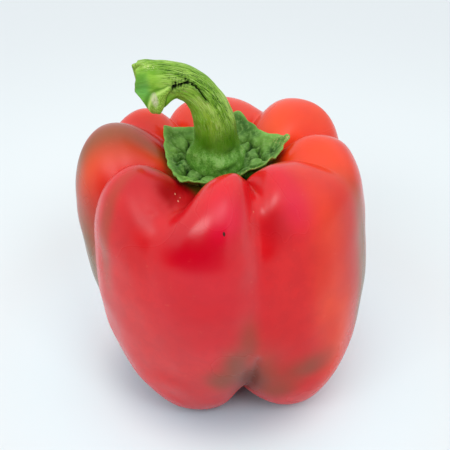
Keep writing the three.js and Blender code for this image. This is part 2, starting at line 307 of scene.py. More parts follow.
SKIN = {
    "red": (211, 7, 16),
    "light_red": (221, 18, 22),
    "mottle": (196, 2, 16),
    "deep_shade": (188, 2, 20),
    "crimson_and_sheen": (222, 8, 58),
    "orange": (244, 72, 14),
    "brown_and_shade": (136, 58, 26),
    "olive": (104, 88, 40),
    "throat": (120, 96, 22),
    "speckle": (235, 110, 80),
    "shaded": (158, 0, 6),
    "cleft_shade": (92, 40, 22),
    "speck": (240, 190, 150),
    "scratch": (60, 36, 30),
}
LEAF = {
    "dark": (50, 98, 20),
    "light": (104, 150, 56),
    "within": (52, 100, 20),
    "grain": (148, 186, 104),
    # Painted shade in the crevices and painted light on the pleats' crests:
    "crevice_shade": (20, 52, 12),
    "crest": (140, 184, 96),
    "lip": (132, 190, 88),
    "dry": (205, 170, 110),
}
STALK = {
    "dark": (118, 168, 40),
    "light": (166, 206, 88),
    "light_fibres": (212, 228, 156),
    "streak": (150, 190, 40),
    "dark_fibres": (48, 88, 30),
    "grain": (26, 62, 22),
    "face": (114, 174, 46),
    "light_face": (150, 202, 68),
    "hollow": (104, 180, 86),
    "inside": (96, 172, 0),
    # Painted shade: darker towards the base of the stem.
    "low": (60, 116, 0),
    "collar": (84, 140, 42),
    "light_collar": (128, 178, 82),
    "collar_blotch": (60, 112, 28),
    "collar_bloom": (160, 200, 120),
    # Painted shade in the crease beside the rib.
    "rib_crease_shade": (44, 106, 30),
    "rib": (160, 204, 84),
    "rib_rough": (120, 160, 50),
    # Painted highlight along the rib's edge.
    "rib_edge_highlight": (190, 222, 116),
    # Painted shade beside and in the crack.
    "crack_side_shade": (44, 88, 22),
    "crack": (10, 24, 6),
    "scar": (206, 206, 170),
    "speckled": (236, 232, 180),
    "brim": (142, 144, 44),
}
# Patches of the skin: the range of the clouds that thin each, and its least strength
# Of these, the deeper red is painted shade and painted dark reflection, the crimson partly painted
# sheen and the brown partly painted shade.
SKIN_PATCHES = [
    ("deep_shade", 0.3, 0.6, 0.7),
    ("crimson_and_sheen", 0.3, 0.6, 0.6),
    ("orange", 0.3, 0.65, 0.55),
    ("brown_and_shade", 0.32, 0.62, 0.6),
    ("olive", 0.32, 0.62, 0.7),
]

# ---- Floor, light and camera: metres, watts and linear colours ----

FLOOR_REACH = 3.0
# The paper's tints are painted light and shade: darker far off, lighter and cooler near the pepper,
# a painted contact shadow beneath it and painted shade ahead of it.
PAPER = (0.735, 0.785, 0.795, 1)
PAPER_FAR_SHADE = (0.685, 0.715, 0.73, 1)
PAPER_NEAR_LIGHT = (0.775, 0.915, 0.95, 1)
PAPER_CONTACT_SHADOW = (0.5, 0.67, 0.76, 1)
PAPER_AHEAD_SHADE = (0.58, 0.605, 0.6, 1)
SKY_LOW = (0.79, 0.82, 0.84, 1)
SKY_HIGH = (1.1, 1.14, 1.16, 1)
SKY_RIGHT = (0.66, 0.68, 0.7, 1)
DARK_ROOM = (0.012, 0.012, 0.014, 1)
# position, width and height, power
SOFTBOXES = [
    ((-0.45, -0.88, 0.86), (0.8, 0.32), 4.6),
    ((0.4, -0.84, 1.06), (0.45, 0.38), 3.7),
]
LAMP_TARGET = (0, 0, 0.05)
CAMERA_ELEVATION = 36.0  # degrees
CAMERA_DISTANCE = 0.36
CAMERA_LENS = 95.04  # millimetres of focal length, on a sensor this wide
SENSOR_WIDTH = 36.0
AIM_X = 0.77  # the point that the camera looks at, in the pepper's millimetres
AIM_Z = 54.3

# ---- Numbers ----


def wrap_angle(angle):
    return (angle + 180.0) % 360.0 - 180.0


def smoothstep(value, low, high):
    t = np.clip((value - low) / (high - low), 0.0, 1.0)
    return t * t * (3.0 - 2.0 * t)


def between(value, rise_from, rise_to, fall_from, fall_to):
    """1 in the middle of a range, and 0 outside it."""
    return smoothstep(value, rise_from, rise_to) * (1 - smoothstep(value, fall_from, fall_to))


def bell(distance, width):
    return np.exp(-((distance / width) ** 2))


def near_turn(angle, centre, width):
    """A soft bump of 1 at an angle, counted round the circle."""
    return bell(wrap_angle(angle - centre), width)


def axis_distance(points):
    return np.hypot(points[..., 0], points[..., 1])


def place_waves(points, height, length, seed, stretch):
    return height * waves(points * stretch, length, seed)


def spline(rows, t):
    """Points on the uniform cubic B-spline through rows, at an array of t from 0 to 1."""
    rows = np.asarray(rows, float)
    spans = len(rows) - 3
    place = np.clip(t, 0.0, 1.0) * spans
    span = np.minimum(place.astype(int), spans - 1)
    f = place - span
    weights = [
        (1 - f) ** 3 / 6,
        (3 * f**3 - 6 * f**2 + 4) / 6,
        (-3 * f**3 + 3 * f**2 + 3 * f + 1) / 6,
        f**3 / 6,
    ]
    shape = (-1,) + (1,) * (rows.ndim - 1)
    return sum(weight.reshape(shape) * rows[span + k] for k, weight in enumerate(weights))


def waves(points, length, seed, count=14):
    """Smooth seeded noise of about the given wavelength, roughly between -1 and 1."""
    random = np.random.RandomState(seed)
    directions = random.normal(size=(count, 3))
    directions /= np.linalg.norm(directions, axis=1, keepdims=True)
    lengths = length * random.uniform(0.75, 1.5, count)
    phases = random.uniform(0, 2 * math.pi, count)
    total = 0.0
    for direction, size, phase in zip(directions, lengths, phases):
        total = total + np.sin(points @ direction * (2 * math.pi / size) + phase)
    return total * math.sqrt(2.0 / count) * 0.6


# ---- Meshes ----


def add_object(name, data):
    thing = bpy.data.objects.new(name, data)
    bpy.context.scene.collection.objects.link(thing)
    return thing


def closed_mesh(name, rings, first, last):
    """A smooth closed mesh over rings of points in millimetres, with a fan at each end."""
    count, around = rings.shape[:2]
    points = np.concatenate([[first], rings.reshape(-1, 3), [last]])
    points = (points + (SHIFT_X, SHIFT_Y, 0.0)) * MM
    j = np.arange(around)
    ahead = (j + 1) % around
    faces = []
    start = [np.stack([np.zeros_like(j), 1 + j, 1 + ahead], 1)]
    for ring in range(count - 1):
        low = 1 + ring * around
        faces.append(np.stack([low + j, low + around + j, low + around + ahead, low + ahead], 1))
    low = 1 + (count - 1) * around
    end = [np.stack([low + j, np.full_like(j, len(points) - 1), low + ahead], 1)]
    polygons = [face for block in start + faces + end for face in block.tolist()]
    mesh = bpy.data.meshes.new(name)
    mesh.from_pydata(points.tolist(), [], polygons)
    mesh.shade_smooth()
    mesh.update()
    return add_object(name, mesh)


def add_shares(piece, shares):
    """Stores named numbers on a mesh, given for its rings; the two end points take 0."""
    for name, values in shares.items():
        flat = np.concatenate([[0.0], np.asarray(values, float).reshape(-1), [0.0]])
        attribute = piece.data.attributes.new(name, "FLOAT", "POINT")
        attribute.data.foreach_set("value", flat.astype(np.float32))


def add_vectors(piece, name, vectors):
    flat = np.concatenate([np.zeros((1, 3)), vectors.reshape(-1, 3), np.zeros((1, 3))])
    attribute = piece.data.attributes.new(name, "FLOAT_VECTOR", "POINT")
    attribute.data.foreach_set("vector", flat.astype(np.float32).reshape(-1))


def surface_normals(points):
    """Outward unit normals of a grid of points (ring, around, xyz)."""
    onward = np.gradient(points, axis=0)
    round_about = (np.roll(points, -1, axis=1) - np.roll(points, 1, axis=1)) / 2
    normals = np.cross(onward, round_about)
    return normals / np.maximum(np.linalg.norm(normals, axis=-1, keepdims=True), 1e-9)


def line_distance(x, y, corners):
    """Distance from points of a plane to a bent line."""
    nearest = np.full(np.broadcast(x, y).shape, 1e9)
    for (x0, y0), (x1, y1) in zip(corners, corners[1:]):
        dx, dy = x1 - x0, y1 - y0
        place = np.clip(((x - x0) * dx + (y - y0) * dy) / (dx * dx + dy * dy), 0, 1)
        nearest = np.minimum(nearest, np.hypot(x - x0 - place * dx, y - y0 - place * dy))
    return nearest


# ---- Fruit ----


def hump_values(azimuth):
    table = np.array(HUMPS, float)
    angle = np.radians(azimuth[:, None] - table[None, :, 0])
    weights = np.exp(HUMP_FOCUS * (np.cos(angle) - 1))
    weights /= weights.sum(axis=1, keepdims=True)
    return dict(zip(HUMP_KEYS, (weights @ table[:, 1:]).T))


def groove_share(groove, out, down, spread, azimuth):
    throat, top, base, width, blunt, lean = groove[:6]
    swing = (top - throat) * out + (base - top) * down
    offset = wrap_angle(azimuth - throat - swing)
    width = width * spread * (1 + lean * np.tanh(offset / LEAN_SOFTNESS))
    blunt = blunt * spread
    return np.exp(-(np.hypot(offset, blunt) - blunt) / width)


def fruit_rows(azimuth):
    """Control radii and heights at each azimuth, mirrored past both ends."""
    values = hump_values(azimuth)
    rows = []
    for radius, height, out, down, spread, move in STATIONS:
        amounts = dict(values, crown=0.0, edge=0.0, side=0.0, under=0.0)
        for groove in GROOVES:
            share = groove_share(groove, out, down, spread, azimuth)
            for key, depth in zip(("crown", "edge", "side", "under"), groove[6:]):
                amounts[key] = amounts[key] + depth * share
        radius = radius + np.zeros_like(azimuth)
        height = height + np.zeros_like(azimuth)
        for key, (outward, upward) in move.items():
            radius = radius + outward * amounts[key]
            height = height + upward * amounts[key]
        rows.append(np.stack([radius, height], axis=-1))
    before = rows[1] * (-1, 1)
    after = rows[-2] * (-1, 1)
    return np.array([before] + rows + [after])


def fruit_points(azimuth, t):
    curve = spline(fruit_rows(azimuth), t)
    radius, height = curve[..., 0], curve[..., 1]
    angle = np.radians(azimuth)
    x = radius * np.cos(angle) + BASE_SHIFT * (1 - height / CROWN_HEIGHT)
    return np.stack([x, radius * np.sin(angle), np.maximum(height, 0.0)], axis=-1)


def patch_share(patches, azimuth, height):
    """How strongly a surface point lies in a list of soft patches, from 0 to 1."""
    left = np.ones(height.shape)
    for centre, level, wide, tall, strength in patches:
        far = (wrap_angle(azimuth - centre) / wide) ** 2 + ((height - level) / tall) ** 2
        left = left * (1 - strength * np.exp(-(far**1.3)))
    return 1 - left


def crease_distance(azimuth, height):
    """Distance in millimetres to the sharp crease low down between the two front lobes."""
    around = np.radians(azimuth) * CREASE_GIRTH + np.zeros_like(height)
    corners = [(level, math.radians(turn) * CREASE_GIRTH) for turn, level in CREASE]
    return line_distance(height, around, corners)


def throat_swelling(azimuth, points):
    centre, width, radius, half, swelling = THROAT_SWELLING
    ring = bell(axis_distance(points) - radius, half) * (points[..., 2] > 60)
    return swelling * near_turn(azimuth, centre, width) * ring


def flank_ridges(azimuth, height):
    ridges = sum(near_turn(azimuth, ridge, RIDGE_WIDTH) for ridge in RIDGE_AZIMUTHS)
    return RIDGE_HEIGHT * ridges * bell(height - RIDGED_FLANK[0], RIDGED_FLANK[1])


def skin_relief(azimuth, points):
    """Dents and wrinkles of the skin in millimetres, outwards."""
    height = points[..., 2]
    relief = sum(size * waves(points, length, seed) for size, length, seed in SKIN_SWELLS)
    turn, half_turn, level, half_level = VALLEY
    valley = near_turn(azimuth, turn, half_turn) * bell(height - level, half_level)
    relief = relief + valley * place_waves(points, *VALLEY_WRINKLES)
    flank = bell(height - FOLDED_FLANK[0], FOLDED_FLANK[1])
    relief = relief + flank * place_waves(points, *FLANK_FOLDS)
    relief = relief - CREASE_DEPTH * bell(crease_distance(azimuth, height), CREASE_WIDTH)
    relief = relief + throat_swelling(azimuth, points) + flank_ridges(azimuth, height)
    return relief * smoothstep(height, 0.0, SOLE_FADE)


def skin_shares(azimuth, points):
    """How strongly each kind of colour or gloss lies on each point of the skin."""
    height = points[..., 2]
    from_axis = axis_distance(points)
    shares = {name: patch_share(patches, azimuth, height) for name, patches in PATCHES.items()}
    # Painted shade: deeper red along the sharp crease between the front lobes.
    creased = 0.8 * bell(crease_distance(azimuth, height), 1.0)
    shares["deep_shade"] = np.maximum(shares["deep_shade"], creased)
    shares["shaded"] = shares["shaded"] * (1 - smoothstep(from_axis, *SHADED_REACH))
    shares["underside"] = smoothstep(height, *UNDERSIDE)
    shares["throat"] = (1 - smoothstep(from_axis, 13.5, 18)) * smoothstep(height, 60, 70)
    return shares


def make_fruit():
    azimuth = np.arange(FRUIT_AROUND) * 360.0 / FRUIT_AROUND
    t = np.linspace(0, 1, FRUIT_RINGS + 2)
    points = fruit_points(azimuth, t)
    rings = points[1:-1]
    rings = rings + surface_normals(points)[1:-1] * skin_relief(azimuth, rings)[..., None]
    rings[..., 2] = np.maximum(rings[..., 2], 0.0)
    piece = closed_mesh("fruit_skin", rings, points[0, 0], points[-1, 0])
    add_shares(piece, skin_shares(azimuth, rings))
    return piece


# ---- Calyx ----


def calyx_rim(azimuth):
    radius = np.full_like(azimuth, RIM_RADIUS)
    height = np.full_like(azimuth, RIM_HEIGHT)
    for tip, tip_radius, tip_height in TIPS:
        away = np.hypot(wrap_angle(azimuth - tip), TIP_BLUNT) - TIP_BLUNT
        share = np.exp(-away / TIP_REACH)
        radius += (tip_radius - RIM_RADIUS) * share
        height += (tip_height - RIM_HEIGHT) * share
    return radius, height


def pleat_centres():
    """Middles of the pleats as turn, distance from the stem's axis, and stretch outwards."""
    random = np.random.RandomState(PLEAT_SEED)
    for ring_radius, count, stretch in PLEAT_RINGS:
        for k in range(count):
            turn = math.radians((k + random.uniform(-0.28, 0.28)) * 360 / count)
            yield turn, ring_radius + random.uniform(-0.7, 0.7), stretch


def pleat_share(azimuth, radius):
    """The round pleats about the stem: 1 on a pleat, 0 in the crevices between them."""
    angle = np.radians(azimuth)
    x = radius * np.cos(angle)
    y = radius * np.sin(angle)
    places = np.stack([x, y, np.zeros_like(x)], axis=-1)
    x = x + 0.45 * waves(places, 3.5, 13)
    y = y + 0.45 * waves(places, 3.5, 14)
    nearest = np.full(np.shape(x), 1e9)
    second = np.full(np.shape(x), 1e9)
    for turn, reach, stretch in pleat_centres():
        out = (math.cos(turn), math.sin(turn))
        dx = x - reach * out[0]
        dy = y - reach * out[1]
        outward = (dx * out[0] + dy * out[1]) / stretch
        sideways = dy * out[0] - dx * out[1]
        distance = np.hypot(outward, sideways)
        second = np.minimum(second, np.maximum(nearest, distance))
        nearest = np.minimum(nearest, distance)
    return 1 - np.exp(-(second - nearest) / PLEAT_SOFTNESS)


def calyx_points(azimuth, share, is_top):
    """One side of the plain dish; share runs from the middle to the rim."""
    rim_radius, rim_height = calyx_rim(azimuth)
    share = share[:, None]
    radius = share * rim_radius
    top = CALYX_SEAT + (rim_height - CALYX_SEAT) * smoothstep(share, 0.55, 1.08)
    count, fold, fold_radius, fold_width = DISH_FOLDS
    top = top + fold * np.sin(np.radians(azimuth * count)) * bell(radius - fold_radius, fold_width)
    core = 1 - smoothstep(share, 0, 0.6)
    height = top if is_top else top - (LEAF_THICKNESS + CORE_THICKNESS * core)
    angle = np.radians(azimuth)
    return np.stack([radius * np.cos(angle) + CALYX_X, radius * np.sin(angle), height], axis=-1)


def calyx_detail(azimuth, share, points):
    """Pleats, a lip and an uneven edge on the plain dish; also the shares for its colours."""
    share = share[:, None] + np.zeros_like(points[..., 0])
    radius = np.hypot(points[..., 0] - CALYX_X, points[..., 1])
    pleats = pleat_share(azimuth, radius)
    zone = smoothstep(radius, 8.0, 9.2) * (1 - smoothstep(share, 0.7, 0.93))
    inner = 1 - smoothstep(radius, 12.0, 17.0)
    lip = smoothstep(share, 0.9, 1.0)
    edge = points[-1:, :, :] + np.zeros_like(points)
    height = (INNER_PLEAT_HEIGHT * inner + PLEAT_HEIGHT) * (pleats - 0.6) * zone
    height = height + 0.12 * waves(points, 2.4, 22)
    height = height + lip * (0.25 + 0.4 * waves(edge, 5, 21))
    turn, half_turn, fold_radius, fold_width, fold = FRONT_FOLD
    fold = fold * near_turn(azimuth, turn, half_turn)
    height = height + fold * bell(radius - fold_radius, fold_width)
    turn, half_turn, drawn_in, risen = BLUNT_TIP
    blunt = near_turn(azimuth, turn, half_turn) * smoothstep(share, 0.8, 1.0)
    ragged = 0.3 * waves(edge, 3.2, 23) + 0.25 * waves(edge, 8, 24)
    outward = (points[..., :2] - (CALYX_X, 0)) / np.maximum(radius, 1e-6)[..., None]
    moved = points.copy()
    moved[..., :2] += outward * (ragged * lip - drawn_in * blunt)[..., None]
    moved[..., 2] += height + risen * blunt
    tips = sum(much * near_turn(azimuth, turn, DRY_TIP_WIDTH) for turn, much in DRY_TIPS)
    shares = {
        # Painted shade in the crevices and painted light on the pleats' crests.
        "crevice_shade": (1 - pleats) * zone,
        "crest": smoothstep(pleats, 0.7, 0.95) * zone * inner,
        "within": 1 - smoothstep(radius, 9.0, 15.0),
        "lip": lip,
        "tip": tips * smoothstep(share, 0.75, 1.0),
    }
    return moved, shares


def make_calyx():
    azimuth = np.arange(CALYX_AROUND) * 360.0 / CALYX_AROUND
    share = np.arange(CALYX_RINGS + 1) / CALYX_RINGS
    top = calyx_points(azimuth, share, True)
    under = calyx_points(azimuth, share, False)
    moved, shares = calyx_detail(azimuth, share, top)
    lowered = under + (moved - top)
    rings = np.concatenate([moved[1:], lowered[::-1][:-1]])
    piece = closed_mesh("calyx_leaf", rings, moved[0, 0], lowered[0, 0])
    both = {name: np.concatenate([v[1:], v[::-1][:-1]]) for name, v in shares.items()}
    add_shares(piece, both)
    return piece


# ---- Stem ----


def stem_frame(t):
    """Middle points, sections and the directions along and out of the bend at each t."""
    rows = spline(STEM_SECTIONS, t)
    centre = np.stack([rows[:, 0], np.zeros_like(t), rows[:, 1]], axis=-1)
    along = np.gradient(centre, axis=0)
    along /= np.linalg.norm(along, axis=1, keepdims=True)
    outward = np.stack([along[:, 2], np.zeros_like(t), -along[:, 0]], axis=-1)
    return rows, centre, along, outward


def stem_points(t, angle, lift, push):
    """Points on the stem, raised by lift from its middle line and moved on by push along it."""
    rows, centre, along, outward = stem_frame(t)
    outside, inside, near, far = (rows[:, k][:, None] for k in (2, 3, 4, 5))
    cosine = np.cos(np.radians(angle))[None, :]
    sine = np.sin(np.radians(angle))[None, :]
    share = t[:, None]
    hollow = 0.3 * bell(angle - 80, 38) * smoothstep(share, 0.78, 0.98)
    knob = 0.3 * bell(angle - 132, 17) * between(share, 0.7, 0.84, 0.9, 0.97)
    swell = 1 - hollow + knob
    rise = np.where(cosine > 0, outside, inside) * cosine
    side = np.where(sine > 0, near, far) * sine
    fall = np.maximum(-rise, 0)
    cut = 0.26 * np.maximum(rise, 0) + 0.2 * fall + 0.5 * np.maximum(fall - 7.5, 0) ** 2
    cut = -cut * smoothstep(share, 0.75, 1.0)
    sideward = np.array([0.0, -1.0, 0.0])
    points = centre[:, None, :] + outward[:, None, :] * (rise * swell + lift * cosine)[..., None]
    points = points + sideward * (side * swell + lift * sine)[..., None]
    return points + along[:, None, :] * (cut + push)[..., None], centre


def stem_lengths(t):
    """Length of the middle line up to each t."""
    _, centre, _, _ = stem_frame(np.linspace(0, 1, 501))
    steps = np.linalg.norm(np.diff(centre, axis=0), axis=1)
    return np.interp(t, np.linspace(0, 1, 501), np.concatenate([[0], np.cumsum(steps)]))


def stem_line(corners, length, around):
    """Distance in millimetres over the stem's surface to a bent line of (t, angle) corners."""
    flat = [(float(stem_lengths(t)), math.radians(turn) * STEM_GIRTH) for t, turn in corners]
    return line_distance(length, around, flat)


def stem_surface(t, angle):
    """Where each point of the stem lies: t, angle, length along, turn and place round it."""
    length = stem_lengths(t)[:, None] + np.zeros_like(angle)
    turn = np.radians(angle) + np.zeros_like(length)
    places = [STEM_GIRTH * np.cos(turn), STEM_GIRTH * np.sin(turn), length]
    wrapped = np.stack(places, axis=-1)
    return SimpleNamespace(
        t=t[:, None],
        angle=angle,
        length=length,
        turn=turn,
        around=turn * STEM_GIRTH,
        wrapped=wrapped,
        uneven=0.35 * waves(wrapped, 1.1, 34) + 0.25 * waves(wrapped, 2.6, 35),
    )


def crack_distance(stem):
    """Distance in millimetres to the crack, made less where it is torn open."""
    crack = stem_line(CRACK, stem.length, stem.around + stem.uneven)
    torn = between(stem.t, 0.66, 0.7, 0.75, 0.78)
    opening = np.clip(0.65 + 1.4 * waves(stem.wrapped * (1, 1, 1.6), 0.9, 38), 0, 2.4)
    crack = crack / (1 + torn * opening)
    return np.minimum(crack, stem_line(CRACK_END, stem.length, stem.around) + 0.12)


def rib_distance(stem):
    """Distance to the rib of the broken end, as if it were equally wide all along."""
    half_width = 0.55 + 1.05 * smoothstep(stem.t, 0.765, 0.88)
    return stem_line(RIB, stem.length, stem.around) * (RIB_WIDTH / half_width)


def collar_lift(stem):
    lobes = 0.6 * np.sin(5 * stem.turn + 0.9) + 0.6 * waves(stem.wrapped, 5, 33)
    return bell(stem.length - COLLAR_LENGTH, 3.2) * lobes


def rib_lift(rib):
    ridge = np.sqrt(np.clip(1 - (rib / RIB_WIDTH) ** 2, 0, 1))
    return RIB_HEIGHT * ridge - 0.2 * bell(rib - 2.2, 0.5)


def wrinkle_lift(stem):
    """Fine wrinkles across the front of the shaft."""
    place = bell(stem.t - 0.36, 0.09) * near_turn(stem.angle, 55, 35)
    return 0.05 * place * np.sin(9 * stem.length + 2.5 * waves(stem.wrapped, 4, 39))


def end_lift(stem):
    """The hollow of the broken end, its drawn-in back and its rounded edge."""
    hollow = smoothstep(stem.t, 0.86, 0.95) * bell(stem.angle - 84, 20)
    back = smoothstep(stem.t, 0.9, 1.0) * bell(stem.angle - 172, 14)
    return -0.6 * hollow - 0.9 * back - 0.3 * smoothstep(stem.t, 0.994, 1.0)


def end_push(stem):
    """How far the torn edge of the broken end stands out along the stem."""
    around_end = stem.wrapped * (1, 1, 0)
    edge = 0.14 * waves(around_end, 3.0, 36) + 0.06 * waves(around_end, 1.2, 37)
    for centre, width, reach in END_FLAPS:
        edge = edge + reach * near_turn(stem.angle, centre, width)
    centre, width, reach = END_BULGE
    edge = edge + reach * bell(stem.angle - centre, width)
    return edge * smoothstep(stem.t, 0.94, 1.0)


def stem_relief(stem):
    """Everything that stands out of the stem's plain shape, and the shares for its colours."""
    face = smoothstep(stem.t, 0.77, 0.88) * between(stem.angle, 12, 45, 140, 175)
    bark = smoothstep(stem.t, 0.2, 0.33) * (1 - 0.85 * face)
    fibres = waves(stem.wrapped * (1, 1, 0.09), 1.0, 31, 24)
    crack = crack_distance(stem)
    crack_share = 1 - smoothstep(crack, 0.16, 0.42)
    rib = rib_distance(stem)
    scar = stem_line(SCAR, stem.length, stem.around + 0.3 * stem.uneven)
    scar_share = 1 - smoothstep(scar, 0.35, 1.05)
    lift = 0.08 * bark * fibres + 0.1 * waves(stem.wrapped, 6, 32)
    lift = lift - CRACK_DEPTH * crack_share + 0.25 * bell(crack - 0.75, 0.35)
    lift = lift + collar_lift(stem) + rib_lift(rib) + wrinkle_lift(stem) + end_lift(stem)
    lift = lift - 0.12 * scar_share
    shares = {
        "bark": bark * (0.3 + 0.7 * near_turn(stem.angle, 25, 50)),
        "face": face,
        # Painted shade in and beside the crack.
        "crack": crack_share,
        "crack_side_shade": bell(crack, 1.1),
        "rib": 1 - smoothstep(rib, 1.0, 1.8),
        # Painted highlight along the rib's edge and painted shade in the crease beside it.
        "rib_edge_highlight": bell(rib - 1.65, 0.25),
        "rib_crease_shade": bell(rib - 2.5, 0.6),
        "scar": scar_share,
    }
    return lift, dict(shares, **stem_zones(stem))


def stem_zones(stem):
    """Shares for the colours that depend only on the place along and round the stem."""
    whole = np.zeros_like(stem.length)
    streak = stem_line(STREAK, stem.length, stem.around + stem.uneven)
    along_grain = between(stem.t, 0.35, 0.55, 0.8, 0.87)
    at_flap = near_turn(stem.angle, 5, 22)
    return {
        "collar": 1 - smoothstep(stem.length, 5.0, 9.5),
        # Painted shade: darker towards the base of the stem.
        "low": smoothstep(stem.t, 0.48, 0.22) + whole,
        "inside": smoothstep(np.abs(wrap_angle(stem.angle - 180)), 90, 50) + whole,
        "grain": along_grain * near_turn(stem.angle, 40, 26),
        "streak": 1 - smoothstep(streak, 0.2, 1.0),
        "hollow": smoothstep(stem.t, 0.88, 0.95) * bell(stem.angle - 84, 40),
        "speckled": bell(stem.t - 0.89, 0.04) * near_turn(stem.angle, 23, 7),
        "brim": smoothstep(stem.t, 0.993, 1.0) * (1 - 0.85 * at_flap),
    }


def make_stem():
    t = np.linspace(0, 1, STEM_RINGS)
    angle = np.arange(STEM_AROUND) * 360.0 / STEM_AROUND
    stem = stem_surface(t, angle)
    lift, shares = stem_relief(stem)
    points, centre = stem_points(t, angle, lift, end_push(stem))
    piece = closed_mesh("stem_stalk", points, centre[0], centre[-1])
    add_shares(piece, shares)
    add_vectors(piece, "wrapped", stem.wrapped)
    return piece


# ---- Materials ----


def new_material(name):
    material = bpy.data.materials.new(name)
    material.use_nodes = True
    tree = material.node_tree
    shader = tree.nodes["Principled BSDF"]
    return material, tree, shader


def srgb(red, green, blue):
    """Linear colour, with alpha, of an 8-bit display colour."""
    values = [channel / 255 for channel in (red, green, blue)]
    linear = [v / 12.92 if v <= 0.04045 else ((v + 0.055) / 1.055) ** 2.4 for v in values]
    return (*linear, 1.0)


def plug(tree, socket, value):
    """Links an output to a socket, or sets a plain number or colour on it."""
    if isinstance(value, bpy.types.NodeSocket):
        tree.links.new(value, socket)
    else:
        socket.default_value = value


def stored(tree, name):
    node = tree.nodes.new("ShaderNodeAttribute")
    node.attribute_name = name
    return node.outputs


def share_of(tree, name):
    return stored(tree, name)["Fac"]


def vector_math(tree, operation, vector, other=None):
    node = tree.nodes.new("ShaderNodeVectorMath")
    node.operation = operation
    tree.links.new(vector, node.inputs[0])
    if other is not None:
        node.inputs[1].default_value = other
    return node.outputs["Value" if operation == "LENGTH" else "Vector"]


def object_place(tree):
    return tree.nodes.new("ShaderNodeTexCoord").outputs["Object"]


def wrapped_place(tree, stretch):
    """Coordinates in millimetres round and along the stem, with its length scaled by stretch."""
    place = stored(tree, "wrapped")["Vector"]
    return vector_math(tree, "MULTIPLY", place, (1.0, 1.0, stretch))


def noise(tree, place, scale, detail=3.0, roughness=0.5):
    node = tree.nodes.new("ShaderNodeTexNoise")
    node.inputs["Scale"].default_value = scale
    node.inputs["Detail"].default_value = detail
    node.inputs["Roughness"].default_value = roughness
    tree.links.new(place, node.inputs["Vector"])
    return node.outputs["Fac"]


def remap(tree, value, low, high, to_low=0.0, to_high=1.0):
    """Moves a value from the range low-high to another one, smoothly and clamped."""
    node = tree.nodes.new("ShaderNodeMapRange")
    node.interpolation_type = "SMOOTHSTEP"
    tree.links.new(value, node.inputs["Value"])
    numbers = {"From Min": low, "From Max": high, "To Min": to_low, "To Max": to_high}
    for socket, number in numbers.items():
        node.inputs[socket].default_value = number
    return node.outputs["Result"]


def calculate(tree, operation, first, second):
    node = tree.nodes.new("ShaderNodeMath")
    node.operation = operation
    node.use_clamp = True
    plug(tree, node.inputs[0], first)
    plug(tree, node.inputs[1], second)
    return node.outputs["Value"]


def mix(tree, share, below, above):
    """Colour that goes from below to above by a share; each is a colour or an output."""
    node = tree.nodes.new("ShaderNodeMix")
    node.data_type = "RGBA"
    for socket, value in zip((0, 6, 7), (share, below, above)):
        plug(tree, node.inputs[socket], value)
    return node.outputs[2]


def bump(tree, shader, height, distance, strength, before=None):
    node = tree.nodes.new("ShaderNodeBump")
    node.inputs["Distance"].default_value = distance
    node.inputs["Strength"].default_value = strength
    tree.links.new(height, node.inputs["Height"])
    if before is not None:
        tree.links.new(before, node.inputs["Normal"])
    tree.links.new(node.outputs["Normal"], shader.inputs["Normal"])
    return node.outputs["Normal"]


def skin_spot(tree, place, spot):
    """1 on a small mark of the skin and 0 away from it."""
    azimuth, radius, half_width, half_height = spot
    points = fruit_points(np.array([azimuth]), np.linspace(0, 0.5, 800))[:, 0]
    reach = axis_distance(points)
    shoulder = reach[: np.argmax(reach)]
    centre = points[np.argmin(np.abs(shoulder - radius))] + (SHIFT_X, SHIFT_Y, 0.0)
    offset = vector_math(tree, "SUBTRACT", place, (centre * MM).tolist())
    across = 1 / (half_width * MM)
    scaled = vector_math(tree, "MULTIPLY", offset, (across, across, 1 / (half_height * MM)))
    return remap(tree, vector_math(tree, "LENGTH", scaled), 1.2, 0.8)


def times(tree, first, second):
    return calculate(tree, "MULTIPLY", first, second)


def lay(tree, colour, palette, name, share=None):
    """Lays a palette's colour over another by the stored share of its name, or by share."""
    share = share_of(tree, name) if share is None else share
    return mix(tree, share, colour, srgb(*palette[name]))


def two_tone(tree, share, first, second):
    return mix(tree, share, srgb(*first), srgb(*second))


def part_of(tree, name, most):
    """A stored share, made no stronger than most."""
    return remap(tree, share_of(tree, name), 0, 1, 0, most)


def thinned(tree, name, pattern, low, high, least=0.0, most=1.0):
    """A stored share times a pattern that runs from least to most."""
    strength = remap(tree, pattern, low, high, least, most)
    return times(tree, share_of(tree, name), strength)


def soften(shader, weight, radius):
    """Lets a little light through the surface, as flesh and leaves do."""
    shader.inputs["Subsurface Weight"].default_value = weight
    shader.inputs["Subsurface Radius"].default_value = radius
    shader.inputs["Subsurface Scale"].default_value = 1.0


def skin_colour(tree, place, clouds, fine):
    red = two_tone(tree, remap(tree, clouds, 0.38, 0.62), SKIN["red"], SKIN["light_red"])
    mottled = noise(tree, place, 240, 4, 0.65)
    colour = lay(tree, red, SKIN, "mottle", remap(tree, mottled, 0.42, 0.62, 0.0, 0.3))
    # Among these patches the deeper red is painted shade and dark reflection, the crimson partly
    # painted sheen and the brown partly painted shade.
    for name, low, high, least in SKIN_PATCHES:
        colour = lay(tree, colour, SKIN, name, thinned(tree, name, clouds, low, high, least))
    colour = lay(tree, colour, SKIN, "throat")
    colour = lay(tree, colour, SKIN, "speckle", remap(tree, fine, 0.64, 0.78, 0, 0.14))
    # Painted shade: the darkest red in the dip beside the calyx.
    colour = lay(tree, colour, SKIN, "shaded")
    # Painted shade: the dark brown at the bottom of the cleft.
    colour = lay(tree, colour, SKIN, "cleft_shade", part_of(tree, "cleft_shade", 0.7))
    for speck in SPECKS:
        colour = lay(tree, colour, SKIN, "speck", skin_spot(tree, place, speck))
    return lay(tree, colour, SKIN, "scratch", skin_spot(tree, place, SCRATCH))


